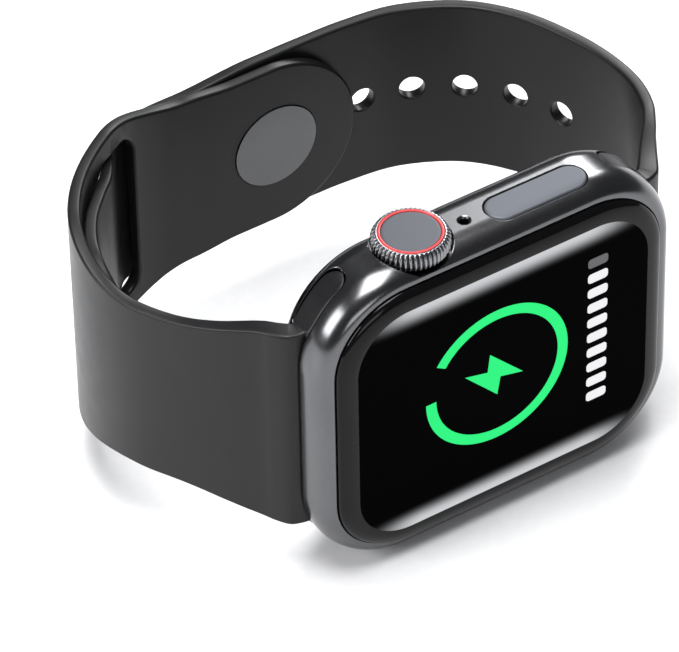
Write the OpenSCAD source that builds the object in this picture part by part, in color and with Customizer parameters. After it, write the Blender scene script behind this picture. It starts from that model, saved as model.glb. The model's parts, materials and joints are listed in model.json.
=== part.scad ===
// Rectangular smartwatch standing on its side with the pin-and-tuck strap
// closed: the crown side is up (+Z), the display looks toward -Y, the twelve
// o'clock end is at -X. The origin is on the flat strip of the lower side.
// Millimetres throughout.

/* [Case] */
// Case length from the twelve o'clock end to the six o'clock end
case_length = 44; // [40:0.5:49]
// Case width from the lower side to the crown side
case_width = 38; // [34:0.5:42]
// Corner radius of the case seen from the front
case_corner = 10.5; // [8:0.5:13]
// Front edge of the metal, measured forward from the crown line
case_front = 4.6; // [4:0.1:6]
// Back edge of the metal, measured backward from the crown line
case_back = 3.9; // [3.5:0.1:5]
// How far the front edge is drawn in from the widest outline
front_inset = 1.7; // [1:0.1:2.5]
// How far the back edge is drawn in from the widest outline
back_inset = 2.8; // [1.5:0.1:3.5]
// Flat strip round the side, forward from the crown line
strip_front = 1.7; // [1:0.1:2.2]
// Flat strip round the side, backward from the crown line
strip_back = 1.0; // [0.5:0.1:2]

/* [Glass and back] */
// Height of the front glass above the metal edge
glass_rise = 0.9; // [0.5:0.1:1.4]
// Width of the curved band round the glass
glass_bevel = 2.1; // [1:0.1:3]
// Outer radius of the rear crystal
crystal_radius = 12.6; // [10:0.2:13.4]
// Height of the rear dome above its own rim
crystal_rise = 1.0; // [0.5:0.1:1.6]

/* [Crown and button] */
// Crown centre along the case
crown_x = -8.1; // [-11:0.1:-6]
// Crown centre in depth
crown_y = -0.5; // [-1:0.1:0.5]
// Radius over the crown teeth
crown_radius = 4.1; // [3.2:0.1:4.4]
// Number of crown teeth
crown_teeth = 48; // [30:2:72]
// Crown push travel
crown_travel = 0.3; // [0.2:0.05:0.4]
// Side button centre along the case
button_x = 6.6; // [4:0.1:9]
// Side button centre in depth
button_y = -1.3; // [-2:0.1:0]
// Side button length
button_length = 12; // [8:0.5:13]
// Side button width
button_width = 3.6; // [2.4:0.1:4]

/* [Strap] */
// Strap thickness away from the case
strap_thick = 1.4; // [1.2:0.1:1.8]
// Strap width round the wrist
strap_width = 22; // [18:0.5:24]
// Width of the tongue that carries the clasp pin
tongue_width = 21; // [18:0.5:22]
// Width of the strap where it leaves the case
root_width = 26; // [24:0.5:27]
// Width of the tucked tail
tail_width = 20.6; // [18:0.2:21]
// Clear height of the tuck slot
slot_height = 21.2; // [20.8:0.1:22]
// Width of the band where the tuck slot passes through it
slot_band = 26.8; // [25:0.2:28]
// Depth at which the tail's rounded tip begins
tail_turn = 25.5; // [24:0.5:28]
// Distance between the adjustment holes
hole_pitch = 6; // [5:0.1:7.5]
// Diameter of an adjustment hole
hole_dia = 3; // [2.6:0.1:4]
// Holes between the clasp pin and the case
holes_before = 6; // [3:1:6]
// Holes past the clasp pin
holes_past = 1; // [0:1:1]
// Visible radius of the clasp pin disc
pin_disc = 5.1; // [4:0.1:6]

/* [Lug] */
// Inner end of the lug channel
lug_inner = 15.7; // [15.5:0.1:17]
// Channel thickness
lug_thick = 3.2; // [2.6:0.1:3.6]
// Channel centre in depth
lug_y = 0.4; // [0:0.1:0.8]
// Width of the channel mouth
lug_mouth = 2.5; // [2:0.1:2.8]

/* [Hidden] */

hx = case_length / 2;
hz = case_width / 2;
zc = hz;                      // centre height of the case
ztop = case_width;
t2 = strap_thick / 2;
glass_y = -case_front - glass_rise;
lug_bar = lug_thick - 0.2;    // the bar inside the channel
speaker_slots = [-11.8, -7.3]; // slot centres along the lower side
$fn = 64;

// Rounded rectangle by half sizes, centred, in the plane of the face.
module rr(a, b, r) {
  square([2 * a, 2 * (b - r)], center = true);
  square([2 * (a - r), 2 * b], center = true);
  for (i = [-1, 1], j = [-1, 1]) translate([i * (a - r), j * (b - r)]) circle(r);
}
// Raise a face drawing from depth y0 to y1, centred on the case.
module slab(y0, y1) translate([0, y1, zc]) rotate([90, 0, 0]) linear_extrude(y1 - y0) children();
// Pill lying along X and standing on z0.
module pill(len, w, z0, z1) translate([0, 0, z0]) linear_extrude(z1 - z0) {
  square([len - w, w], center = true);
  for (s = [-1, 1]) translate([s * (len - w) / 2, 0]) circle(w / 2);
}
// Cylinder and ring whose axis is the depth axis.
module ycyl(r, y0, y1, x = 0, z = 0) translate([x, y1, z]) rotate([90, 0, 0]) cylinder(r = r, h = y1 - y0);
module zcyl(r, z0, z1) translate([0, 0, z0]) cylinder(r = r, h = z1 - z0);
module box(a, b) translate(a) cube(b - a);

// Section of the case edge: elliptical arcs on either side of a flat strip.
edge_steps = 7;
function edge(r) = concat(
  [[0, case_front]],
  [for (i = [0 : edge_steps]) let (a = 90 * i / edge_steps)
    [r - front_inset * (1 - sin(a)), strip_front + (case_front - strip_front) * cos(a)]],
  [for (i = [0 : edge_steps]) let (a = 90 * i / edge_steps)
    [r - back_inset * (1 - cos(a)), -strip_back - (case_back - strip_back) * sin(a)]],
  [[0, -case_back]]);
module case_solid() hull()
  for (i = [-1, 1], j = [-1, 1])
    translate([i * (hx - case_corner), 0, zc + j * (hz - case_corner)])
      rotate([90, 0, 0]) rotate_extrude($fn = 72) polygon(edge(case_corner));

// Lug channel section, drawn looking down the Z axis on the right-hand end.
module lug_section(inner, thick, mouth, grow) {
  translate([inner + thick / 2, lug_y]) circle(thick / 2);
  translate([inner + thick / 2, lug_y - thick / 2]) square([21.05 - inner - thick / 2 - grow, thick]);
  translate([20, lug_y - mouth / 2]) square([4, mouth]);
}

module case_shell() color("dimgray") difference() {
  case_solid();
  // glass seat, display pocket, inner room, back seat
  slab(-case_front - 1, -3.3) rr(hx - 1.9, hz - 1.9, case_corner - 1.9);
  slab(-3.4, -2.2) rr(hx - 3.3, hz - 3.3, 7.2);
  slab(-2.3, 2.95) rr(14.3, hz - 4.1, 2);
  slab(2.9, case_back + 1) rr(15.6, hz - 3.3, 7.5);
  // lug channels, open at both ends
  for (s = [0, 1]) mirror([s, 0, 0]) translate([0, 0, -1]) linear_extrude(case_width + 2)
    lug_section(lug_inner, lug_thick, lug_mouth, 0);
  // release button slots through the back wall into the channels
  for (s = [-1, 1]) translate([s * 17.4, 5, zc]) rotate([90, 90, 0]) pill(6.2, 2.2, 0, 3.6);
  // crown seat and bore, button pocket, stem holes
  translate([crown_x, crown_y, 0]) { zcyl(4.35, ztop - 1.3, ztop + 2); zcyl(2, ztop - 6, ztop); }
  translate([button_x, button_y, 0]) {
    pill(button_length + 0.2, button_width + 0.2, ztop - 1.9, ztop + 2);
    for (s = [-1, 1]) translate([s * 3, 0, 0]) zcyl(0.72, ztop - 6, ztop);
  }
  // microphone hole above, speaker slots and vent below
  translate([-1.9, -0.9, 0]) { zcyl(0.5, ztop - 6, ztop + 1); translate([0, 0, ztop - 0.35]) cylinder(r1 = 0.5, r2 = 0.85, h = 0.4); }
  for (x = speaker_slots) translate([x, -0.3, 0]) pill(3.6, 1.2, -1, 6);
  translate([9, -0.3, 0]) zcyl(0.5, -1, 6);
}

module front_glass() color([0.03, 0.03, 0.04]) {
  slab(-case_front, -3.45) rr(hx - 2, hz - 2, case_corner - 2);
  // curved band: an elliptical quarter round the flat viewing area
  hull() for (i = [-1, 1], j = [-1, 1])
    translate([i * (hx - case_corner), 0, zc + j * (hz - case_corner)]) rotate([90, 0, 0])
      rotate_extrude($fn = 72) polygon(concat([[0, case_front]],
        [for (k = [0 : 6]) let (a = 90 * k / 6)
          [case_corner - 2 - glass_bevel * (1 - cos(a)), case_front + glass_rise * sin(a)]],
        [[0, case_front + glass_rise]]));
}
module glass_gasket() color("black") slab(-3.45, -3.3) difference() {
  rr(hx - 2.1, hz - 2.1, case_corner - 2.1);
  rr(hx - 3.3, hz - 3.3, 7.2);
}
module display_panel() color([0.1, 0.1, 0.12]) slab(-3.4, -2.7) rr(hx - 3.6, hz - 3.6, 6.9);
module display_shield() color("silver") difference() {
  slab(-2.65, -2.35) rr(hx - 3.8, hz - 3.8, 6.7);
  for (x = [-12, 12]) ycyl(0.8, -3, -2, x, zc + 9);
}
module back_gasket() color("black") slab(2.9, 3.1) difference() {
  rr(15.4, hz - 3.5, 7.3);
  rr(14.5, hz - 4.3, 6.3);
}
module back_cover() color([0.15, 0.15, 0.16]) difference() {
  slab(3.1, 4.0) rr(15.45, hz - 3.45, 7.35);
  ycyl(crystal_radius + 0.85, 3, 5, 0, zc);
}
module sensor_ring() color("gray") difference() {
  ycyl(crystal_radius + 0.8, 3.2, 4.1, 0, zc);
  ycyl(crystal_radius + 0.05, 3, 5, 0, zc);
}
// Dome of the rear crystal: a turned arc, hollowed underneath for the sensors.
dome_r = (pow(crystal_radius, 2) + pow(crystal_rise, 2)) / (2 * crystal_rise);
module sensor_window() color([0.05, 0.05, 0.06]) difference() {
  translate([0, 0, zc]) rotate([-90, 0, 0]) rotate_extrude($fn = 96) polygon(concat(
    [[0, 3.2], [crystal_radius, 3.2]],
    [for (i = [0 : 8]) let (r = crystal_radius * (1 - i / 8))
      [r, 4.2 + crystal_rise - dome_r + sqrt(dome_r * dome_r - r * r)]]));
  ycyl(11, 3, 3.9, 0, zc);
}
module sensor_board() color("darkgreen") difference() {
  ycyl(10.8, 2.7, 3.1, 0, zc);
  ycyl(0.8, 2, 4, 9, zc + 4);
}
module sensor_leds() color("lime") {
  ycyl(5.1, 3.12, 3.3, 0, zc);
  for (a = [0 : 90 : 270]) rotate([0, 0, 0]) ycyl(1.1, 3.25, 3.7, 3.2 * cos(a), zc + 3.2 * sin(a));
  ycyl(1.3, 3.25, 3.7, 0, zc);
}
module charge_coil() color("peru") difference() {
  ycyl(10.3, 3.14, 3.6, 0, zc);
  ycyl(7.7, 3, 4, 0, zc);
}
module align_magnet() color("silver") difference() {
  ycyl(7.3, 3.14, 3.7, 0, zc);
  ycyl(5.5, 3, 4, 0, zc);
}
module battery() color("lightgray") difference() {
  box([1.9, -1.8, 5.4], [13.2, 0.9, 25.4]);
  box([1.5, -2, 24.6], [4, 2, 26]);
}
module battery_tray() color("dimgray") difference() {
  box([1.5, -2.1, 5], [13.6, 0.6, 25.8]);
  box([1.8, -1.9, 5.3], [13.3, 1, 25.5]);
  box([5, -3, 8], [10, 1, 22]);
}
module logic_board() color("seagreen") difference() {
  union() {
    slab(1.15, 1.65) rr(13.7, hz - 4.7, 4.4);
    box([-10, 1.6, 12], [-2, 2.5, 20]);
    box([2, 1.6, 10], [9, 2.4, 16]);
    box([1, 1.6, 20], [9, 2.3, 25]);
  }
  box([-12.2, 0, 28.2], [-4, 3, 40]);
  box([1, 0, 30.4], [12.4, 3, 40]);
  for (x = [-11, 11], z = [9, 26]) ycyl(0.6, 0, 3, x, z);
}
module haptic_housing() color("gray") difference() {
  box([-13.6, -2.1, 12.6], [0.6, 1, 20.6]);
  box([-13.1, -1.6, 13.1], [0.1, 0.5, 20.1]);
}
module haptic_mass() color("darkgoldenrod") difference() {
  box([-12.3, -1.4, 13.4], [-0.7, 0.3, 19.8]);
  ycyl(1, -3, 3, -9.5, 16.6);
  ycyl(1, -3, 3, -3.5, 16.6);
}
module speaker() color("black") difference() {
  box([-13.8, -2.1, 4.8], [-4.6, 0.9, 11.8]);
  for (x = speaker_slots) translate([x, -0.3, 0]) pill(3.6, 1.2, 4, 6);
}
module speaker_mesh() color("silver") difference() {
  box([-13.1, -1.8, 4.3], [-4.9, 0.7, 4.65]);
  for (i = [0 : 7]) translate([-12.5 + i, -0.55, 0]) zcyl(0.3, 4, 5);
}
module microphone() color("gold") difference() {
  box([-3.5, -2.1, 32], [-0.6, 0.6, 33.8]);
  translate([-1.9, -0.9, 0]) zcyl(0.4, 33, 34);
}
module crown_bush() color("gold") translate([crown_x, crown_y, 0]) difference() {
  zcyl(1.98, ztop - 3.7, ztop - 1.35);
  zcyl(1.3, 30, 40);
}
module crown_plunger() color("silver") translate([crown_x, crown_y, 0]) {
  zcyl(1.4, 31.1, 31.5);
  zcyl(0.6, 30.85, 31.2);
}
module crown_shaft() color("silver") translate([crown_x, crown_y, 0]) {
  zcyl(1.24, 31.55, 37.08);
  zcyl(0.8, 37, 38.6);
}
module crown_encoder() color("black") translate([crown_x, crown_y, 0]) difference() {
  zcyl(1.6, 32, 33.2);
  zcyl(1.26, 31, 34);
}
module crown_bracket() color("silver") translate([crown_x, 0, 0]) difference() {
  box([-3.2, -2, 28.4], [3.2, 1, 33.85]);
  box([-2.7, -3, 28.9], [2.7, 3, 35]);
}
module crown_switch() color("black") translate([crown_x, crown_y, 0]) {
  box([-1.6, -1.3, 28.95], [1.6, 1.3, 29.9]);
  zcyl(0.9, 29.8, 30.4);
}
// Crown knob: a ring of rounded teeth trimmed by a turned profile.
module crown_knob() color("dimgray") translate([crown_x, crown_y, 0]) difference() {
  intersection() {
    translate([0, 0, 37.1]) linear_extrude(2.15) polygon([for (i = [0 : 4 * crown_teeth - 1])
      let (a = 90 * i / crown_teeth, r = crown_radius - [0.26, 0.08, 0, 0.08][i % 4])
        [r * cos(a), r * sin(a)]]);
    rotate_extrude() polygon([[0, 37.1], [3.6, 37.1], [4.0, 37.4], [4.15, 37.9], [4.15, 38.5], [3.98, 38.9], [3.62, 39.25], [0, 39.25]]);
  }
  zcyl(3.55, 39, 40);
  zcyl(2.9, 38.8, 40);
  zcyl(0.82, 37, 38.65);
}
module crown_ring() color("red") translate([crown_x, crown_y, 0]) difference() {
  zcyl(3.5, 39.02, 39.28);
  zcyl(2.98, 38, 40);
}
module crown_cap() color("slategray") translate([crown_x, crown_y, 0]) zcyl(2.86, 38.82, 39.24);

module side_button() color("slategray") translate([button_x, button_y, 0]) {
  pill(button_length, button_width, 36.5, 38.15);
  for (s = [-1, 1]) translate([s * 3, 0, 0]) zcyl(0.65, 33.3, 36.6);
}
module button_yoke() color("silver") translate([button_x, button_y, 0]) difference() {
  union() {
    box([-4, -0.7, 33.1], [4, 1, 33.8]);
    zcyl(0.6, 32.8, 33.4);
  }
  for (s = [-1, 1]) translate([s * 3, 0, 0]) zcyl(0.66, 33.28, 35);
}
module button_switch() color("black") translate([button_x, button_y + 0.15, 0]) {
  box([-1.6, -0.9, 30.95], [1.6, 1.2, 31.8]);
  zcyl(0.8, 31.7, 32.3);
}
module button_bracket() color("silver") translate([button_x, 0, 0]) difference() {
  box([-5.2, -2, 30.4], [5.2, 1, 33.85]);
  box([-4.6, -3, 30.9], [4.6, 3, 35]);
}
module release_button(s) translate([s * 17.4, 3.95, zc]) rotate([90, 90, 0]) pill(6, 2, 0, 1.45);
module release_button_left() color("gray") release_button(-1);
module release_button_right() color("gray") release_button(1);

// Smooth curve through hand-set points, and a band of varying thickness on it.
function cr(a, b, c, d, t) = 0.5 * (2 * b + (c - a) * t + (2 * a - 5 * b + 4 * c - d) * t * t
  + (3 * b - a - 3 * c + d) * t * t * t);
function curve(p, n) = concat([for (i = [0 : len(p) - 2], j = [0 : n - 1])
  cr(p[max(i - 1, 0)], p[i], p[i + 1], p[min(i + 2, len(p) - 1)], j / n)], [p[len(p) - 1]]);
function side(c, i) = let (d = c[min(i + 1, len(c) - 1)] - c[max(i - 1, 0)]) [-d[1], d[0]] / norm(d);
function thick(c, i) = t2 + 0.55 * pow(max(0, 1 - norm(c[i] - c[0]) / 13), 1.5);
module band(c) polygon(concat(
  [for (i = [0 : len(c) - 1]) c[i] + side(c, i) * thick(c, i)],
  [for (i = [len(c) - 1 : -1 : 0]) c[i] - side(c, i) * thick(c, i)]));
function run(c, i) = i == 0 ? 0 : norm(c[i] - c[i - 1]) + run(c, i - 1);
function spot(c, s, i = 0) = let (d = norm(c[i + 1] - c[i])) s <= d
  ? [c[i] + (c[i + 1] - c[i]) * s / d, atan2(c[i + 1][1] - c[i][1], c[i + 1][0] - c[i][0])]
  : spot(c, s - d, i + 1);

steps = 4;
pin_x = 0.5;
pin_path = curve([[-20.9, 0.4], [-22.2, 0.9], [-24.1, 3.2], [-26.9, 6.6], [-29.7, 10.8], [-31.8, 15],
  [-32.7, 19], [-32.6, 22.9], [-31.5, 26.7], [-29.3, 30.4], [-26.4, 33.6], [-22.8, 36.4], [-19, 38.5],
  [-15, 39.4], [-11, 39.6], [-7, 39.6], [-3, 39.6], [pin_x, 39.6], [5, 39.6], [11, 39.6]], steps);
hole_path = curve([[20.9, 0.4], [22.2, 0.9], [23.9, 3.1], [26.1, 6.1], [28.3, 9], [30.1, 12],
  [31.1, 16], [30.9, 21], [29.7, 26], [27.3, 31.6], [23.1, 36.6], [17, 39.9], [11, 40.9],
  [5, 41.1], [pin_x, 41.1], [-5, 41.1], [-9, 41.1], [-12.9, 41.1], [-15.6, 40.9], [-17.6, 40.5],
  [-19.3, 39.8], [-20.6, 38.5], [-21.6, 37], [-22.5, 35.5], [-23.6, 34], [-25.5, 32.2], [-28, 29.5],
  [-29.9, 26.3], [-31, 22.9], [-31.1, 19.3], [-30.4, 15.8], [-28.8, 12.5]], steps);
pin_run = run(hole_path, 14 * steps);

// Section of the strap's own lug bar and neck, on the right-hand end.
module lug_body() intersection() {
  linear_extrude(case_width) {
    translate([lug_inner + 0.1 + lug_bar / 2, lug_y]) circle(lug_bar / 2);
    translate([lug_inner + 0.1 + lug_bar / 2, lug_y - lug_bar / 2])
      square([20.9 - lug_inner - 0.1 - lug_bar / 2, lug_bar]);
    translate([20.5, lug_y - 1.1]) square([2, 2.2]);
  }
  slab(-5, 5) union() {
    rr(hx - 0.2, hz - 0.2, case_corner - 0.2);
    translate([hx - 2.5, -13.2]) square([3, 26.4]);
  }
}
// Strap outline seen from the front: shoulders at the case, then even width.
function shoulder(w) = [[22.1, root_width / 2 + 0.1], [23, root_width / 2], [24.5, root_width / 2 - 0.3],
  [26, root_width / 2 - 0.8], [27.5, (root_width + w) / 4 + 0.1], [29, w / 2 + 0.3], [30.5, w / 2], [40, w / 2]];
module root(w, s) rotate([90, 0, 0]) translate([0, zc, -16]) linear_extrude(20)
  mirror([s > 0 ? 0 : 1, 0, 0]) polygon(concat(shoulder(w),
    [for (i = [7 : -1 : 0]) [shoulder(w)[i][0], -shoulder(w)[i][1]]]));
// Strap outline at the back of the wrist, from half widths along the case.
module profile(p) translate([0, 50, zc]) rotate([90, 0, 0]) linear_extrude(34)
  polygon(concat(p, [for (i = [len(p) - 1 : -1 : 0]) [p[i][0], -p[i][1]]]));
// The band widens round the tuck slot: half widths along the depth, on the left of the wrist.
module flare() translate([-40, 0, zc]) rotate([90, 0, 90]) linear_extrude(18.01)
  polygon(let (w = [[15, 11], [18.5, 11.3], [22, 12.2], [25.5, 13.1], [29, slot_band / 2], [50, slot_band / 2]])
    concat(w, [for (i = [len(w) - 1 : -1 : 0]) [w[i][0], -w[i][1]]]));
// Room left in the bar for the metal core.
module core_room() {
  box([16.2, lug_y - 0.95, 9], [18.6, lug_y + 3, 29]);
}

module strap_pin_side() color([0.2, 0.2, 0.22]) difference() {
  union() {
    mirror([1, 0, 0]) lug_body();
    intersection() {
      linear_extrude(case_width) band(pin_path);
      union() {
        root(strap_width, -1);
        intersection() {
          union() {
            flare();
            profile([[-22, slot_band / 2], [-19, slot_band / 2 - 0.4], [-16.5, slot_band / 2 - 1.1],
              [-14, slot_band / 2 - 1.9], [-10.5, strap_width / 2], [-7.5, strap_width / 2 - 0.25],
              [-4.5, tongue_width / 2], [pin_x - 0.3, tongue_width / 2]]);
          }
          box([-40, 16, 0], [40, 50, 40]);
        }
        ycyl(tongue_width / 2, 30, 50, pin_x - 0.3, zc);
      }
    }
  }
  mirror([1, 0, 0]) core_room();
  box([-25.1, 30, zc - slot_height / 2], [-17.7, 50, zc + slot_height / 2]);
  ycyl(1.6, 30, 50, pin_x, zc);
  ycyl(pin_disc + 0.05, 30, 39.35, pin_x, zc);
}

module strap_hole_side() color([0.2, 0.2, 0.22]) difference() {
  union() {
    lug_body();
    intersection() {
      linear_extrude(case_width) band(hole_path);
      union() {
        root(strap_width, 1);
        intersection() {
          profile([[40, strap_width / 2], [-1, strap_width / 2], [-6, strap_width / 2 - 0.2],
            [-11, tail_width / 2], [-40, tail_width / 2]]);
          union() {
            box([-40, tail_turn, 0], [40, 50, 40]);
            box([0, 16, 0], [40, 50, 40]);
            translate([-40, tail_turn, zc]) rotate([0, 90, 0]) cylinder(r = tail_width / 2, h = 30);
          }
        }
      }
    }
  }
  core_room();
  for (k = [-holes_past : holes_before]) let (q = spot(hole_path, pin_run - k * hole_pitch))
    translate([q[0][0], q[0][1], zc]) rotate([0, 0, q[1]]) rotate([90, 0, 0])
      translate([0, 0, -3]) cylinder(d = hole_dia, h = 6);
}

module clasp_pin() color("gray") {
  ycyl(pin_disc, 38.75, 39.3, pin_x, zc);
  ycyl(1.35, 39.2, 42.2, pin_x, zc);
  translate([pin_x, 41.85, zc]) rotate([-90, 0, 0]) cylinder(r1 = 2.3, r2 = 1.6, h = 0.7);
}

// Metal core in the strap's lug bar, with the detent standing out of its back face.
module lug_core(s) difference() {
  box([s > 0 ? 16.3 : -18.5, lug_y - 0.9, 9.1], [s > 0 ? 18.5 : -16.3, lug_y + 1.15, 28.9]);
  ycyl(0.82, lug_y - 0.4, lug_y + 3, s * 17.4, zc);
}
module lug_core_left() color("darkgray") lug_core(-1);
module lug_core_right() color("darkgray") lug_core(1);
module detent(s) ycyl(0.8, lug_y - 0.38, lug_y + 1.42, s * 17.4, zc);
module detent_left() color("gold") detent(-1);
module detent_right() color("gold") detent(1);

case_shell();
front_glass();
glass_gasket();
display_panel();
display_shield();
back_cover();
back_gasket();
sensor_window();
sensor_ring();
sensor_board();
sensor_leds();
charge_coil();
align_magnet();
battery();
battery_tray();
logic_board();
haptic_housing();
haptic_mass();
speaker();
speaker_mesh();
microphone();
crown_bush();
crown_plunger();
crown_shaft();
crown_encoder();
crown_bracket();
crown_switch();
crown_knob();
crown_ring();
crown_cap();
side_button();
button_yoke();
button_bracket();
button_switch();
release_button_left();
release_button_right();
strap_pin_side();
strap_hole_side();
clasp_pin();
lug_core_left();
lug_core_right();
detent_left();
detent_right();
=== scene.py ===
"""Rectangular smartwatch standing on its side, its rubber strap closed with a pin and tuck.

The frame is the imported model's, in metres: +Z is up through the crown side, the display faces
-Y and the twelve o'clock end is at -X. Shapes are worked out in millimetres and laid in metres.
"""
import json
import math
import bmesh
import bpy
import numpy as np
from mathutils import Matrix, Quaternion, Vector


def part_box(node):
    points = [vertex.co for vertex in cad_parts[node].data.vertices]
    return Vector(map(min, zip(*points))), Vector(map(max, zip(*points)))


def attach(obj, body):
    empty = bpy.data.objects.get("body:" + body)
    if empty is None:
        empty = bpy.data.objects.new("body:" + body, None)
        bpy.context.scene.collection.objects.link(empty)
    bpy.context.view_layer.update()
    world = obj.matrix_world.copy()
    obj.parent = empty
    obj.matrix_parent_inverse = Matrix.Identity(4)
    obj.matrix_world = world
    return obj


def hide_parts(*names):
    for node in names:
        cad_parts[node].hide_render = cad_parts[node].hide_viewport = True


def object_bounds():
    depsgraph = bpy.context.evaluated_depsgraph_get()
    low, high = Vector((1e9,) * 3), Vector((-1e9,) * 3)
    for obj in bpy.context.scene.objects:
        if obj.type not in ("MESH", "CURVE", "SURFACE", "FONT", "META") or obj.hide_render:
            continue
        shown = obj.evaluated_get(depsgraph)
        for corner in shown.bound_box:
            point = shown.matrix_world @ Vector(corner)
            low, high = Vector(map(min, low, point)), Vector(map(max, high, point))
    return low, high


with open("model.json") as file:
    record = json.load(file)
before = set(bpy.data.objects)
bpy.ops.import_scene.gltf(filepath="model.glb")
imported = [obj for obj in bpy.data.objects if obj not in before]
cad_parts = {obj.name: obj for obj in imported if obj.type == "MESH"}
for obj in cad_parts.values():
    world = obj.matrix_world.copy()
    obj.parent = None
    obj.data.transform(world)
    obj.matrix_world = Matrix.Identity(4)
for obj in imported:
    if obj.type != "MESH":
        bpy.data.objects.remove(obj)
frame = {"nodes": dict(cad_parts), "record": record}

cad_low, cad_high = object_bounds()

# ---------------------------------------------------------------- camera, floor and light
# The watch rests on the flat of its lower side on a pale table top, under soft boxes.
# The table and the lights aren't part of it.
camera_azimuth, camera_elevation, camera_roll = -32.35, 41.9, -1.16
camera_distance = 0.589
camera_target = Vector((-0.0165, 0.0, 0.0303))
turn, lift = math.radians(camera_azimuth), math.radians(camera_elevation)
toward_camera = Vector((math.sin(turn) * math.cos(lift), -math.cos(turn) * math.cos(lift), math.sin(lift)))
camera = bpy.data.objects.new("camera", bpy.data.cameras.new("camera"))
camera.data.lens = 308.7
camera.data.sensor_width = 36.0
camera.data.clip_start, camera.data.clip_end = 0.01, 20.0
camera.location = camera_target + toward_camera * camera_distance
camera.rotation_mode = "QUATERNION"
camera.rotation_quaternion = (-toward_camera).to_track_quat("-Z", "Y") @ Quaternion(
    (0, 0, 1), math.radians(camera_roll))
bpy.context.scene.collection.objects.link(camera)
bpy.context.scene.camera = camera


def shade(tree, kind, inputs=None, **settings):
    """One shader node with its settings; each input is set to a value or linked from a socket."""
    made = tree.nodes.new("ShaderNode" + kind)
    for name, value in settings.items():
        setattr(made, name, value)
    for key, value in (inputs or {}).items():
        if isinstance(value, bpy.types.NodeSocket):
            tree.links.new(value, made.inputs[key])
        else:
            made.inputs[key].default_value = value
    return made


def new_group(name, sockets):
    """An empty node group with the named input floats or colours and the named outputs."""
    group = bpy.data.node_groups.new(name, "ShaderNodeTree")
    for label, way, kind in sockets:
        group.interface.new_socket(label, in_out=way, socket_type="NodeSocket" + kind)
    return group, group.nodes.new("NodeGroupInput").outputs, group.nodes.new("NodeGroupOutput").inputs


# Mottle: two sizes of noise on the piece's own coordinates, mixed to one mask. The mask leans
# the colour from dark to light and the roughness from low to high, and is a height for a bump.
mottle, given, result = new_group("mottle", [
    ("Cells per metre", "INPUT", "Float"), ("Dark", "INPUT", "Color"), ("Light", "INPUT", "Color"),
    ("Smooth", "INPUT", "Float"), ("Rough", "INPUT", "Float"),
    ("Colour", "OUTPUT", "Color"), ("Roughness", "OUTPUT", "Float"), ("Height", "OUTPUT", "Float")])
place = shade(mottle, "TexCoord").outputs["Object"]
fine = shade(mottle, "TexNoise", {"Vector": place, "Scale": given["Cells per metre"], "Detail": 3.0})
slow_scale = shade(mottle, "Math", {0: given["Cells per metre"], 1: 0.06}, operation="MULTIPLY")
slow = shade(mottle, "TexNoise", {"Vector": place, "Scale": slow_scale.outputs[0], "Detail": 2.0})
both = shade(mottle, "Mix", {0: 0.5, 2: fine.outputs["Fac"], 3: slow.outputs["Fac"]})
tone = shade(mottle, "MapRange", {"Value": both.outputs[0], "From Min": 0.35, "From Max": 0.65})
mixed = shade(mottle, "Mix", {0: tone.outputs[0], 6: given["Dark"], 7: given["Light"]}, data_type="RGBA")
mottle.links.new(mixed.outputs[2], result["Colour"])
rough = shade(mottle, "MapRange", {
    "Value": tone.outputs[0], "To Min": given["Smooth"], "To Max": given["Rough"]})
mottle.links.new(rough.outputs[0], result["Roughness"])
mottle.links.new(fine.outputs["Fac"], result["Height"])


def finish(name, dark, light, metallic, roughness, cells, bump, **gloss):
    """A Principled material on the mottle group: colour between dark and light, roughness between
    its two values, and a bump of that height in metres; gloss sets further sockets of the shader."""
    made = bpy.data.materials.new(name)
    made.use_nodes = True
    tree = made.node_tree
    shader = tree.nodes["Principled BSDF"]
    grain = shade(tree, "Group", node_tree=mottle)
    for key, value in (("Cells per metre", cells), ("Dark", (*dark, 1)), ("Light", (*light, 1)),
                       ("Smooth", roughness[0]), ("Rough", roughness[1])):
        grain.inputs[key].default_value = value
    tree.links.new(grain.outputs["Colour"], shader.inputs["Base Color"])
    tree.links.new(grain.outputs["Roughness"], shader.inputs["Roughness"])
    relief = shade(tree, "Bump", {"Height": grain.outputs["Height"], "Distance": bump, "Strength": 1.0})
    tree.links.new(relief.outputs[0], shader.inputs["Normal"])
    shader.inputs["Metallic"].default_value = metallic
    for key, value in gloss.items():
        shader.inputs[key.replace("_", " ")].default_value = value
    return made


table_half = 0.6
floor = bpy.data.objects.new("table_top", bpy.data.meshes.new("table_top"))
floor.data.from_pydata([(table_half * a, table_half * b, 0) for a, b in ((-1, -1), (1, -1), (1, 1), (-1, 1))],
                       [], [(0, 1, 2, 3)])
floor.data.materials.append(finish("table_paint", (0.80, 0.80, 0.81), (0.84, 0.84, 0.85), 0.0,
                                   (0.5, 0.6), 900, 0.00001))
bpy.context.scene.collection.objects.link(floor)


def soft_box(name, place, aim, size, power, shade_of=(1, 1, 1)):
    """A rectangular lamp at place, facing aim, with that width and height in metres and power in watts."""
    lamp = bpy.data.objects.new(name, bpy.data.lights.new(name, "AREA"))
    lamp.data.shape = "RECTANGLE"
    lamp.data.size, lamp.data.size_y = size
    lamp.data.energy = power
    lamp.data.color = shade_of
    lamp.location = place
    lamp.rotation_mode = "QUATERNION"
    lamp.rotation_quaternion = (Vector(aim) - Vector(place)).to_track_quat("-Z", "Y")
    bpy.context.scene.collection.objects.link(lamp)


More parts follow.
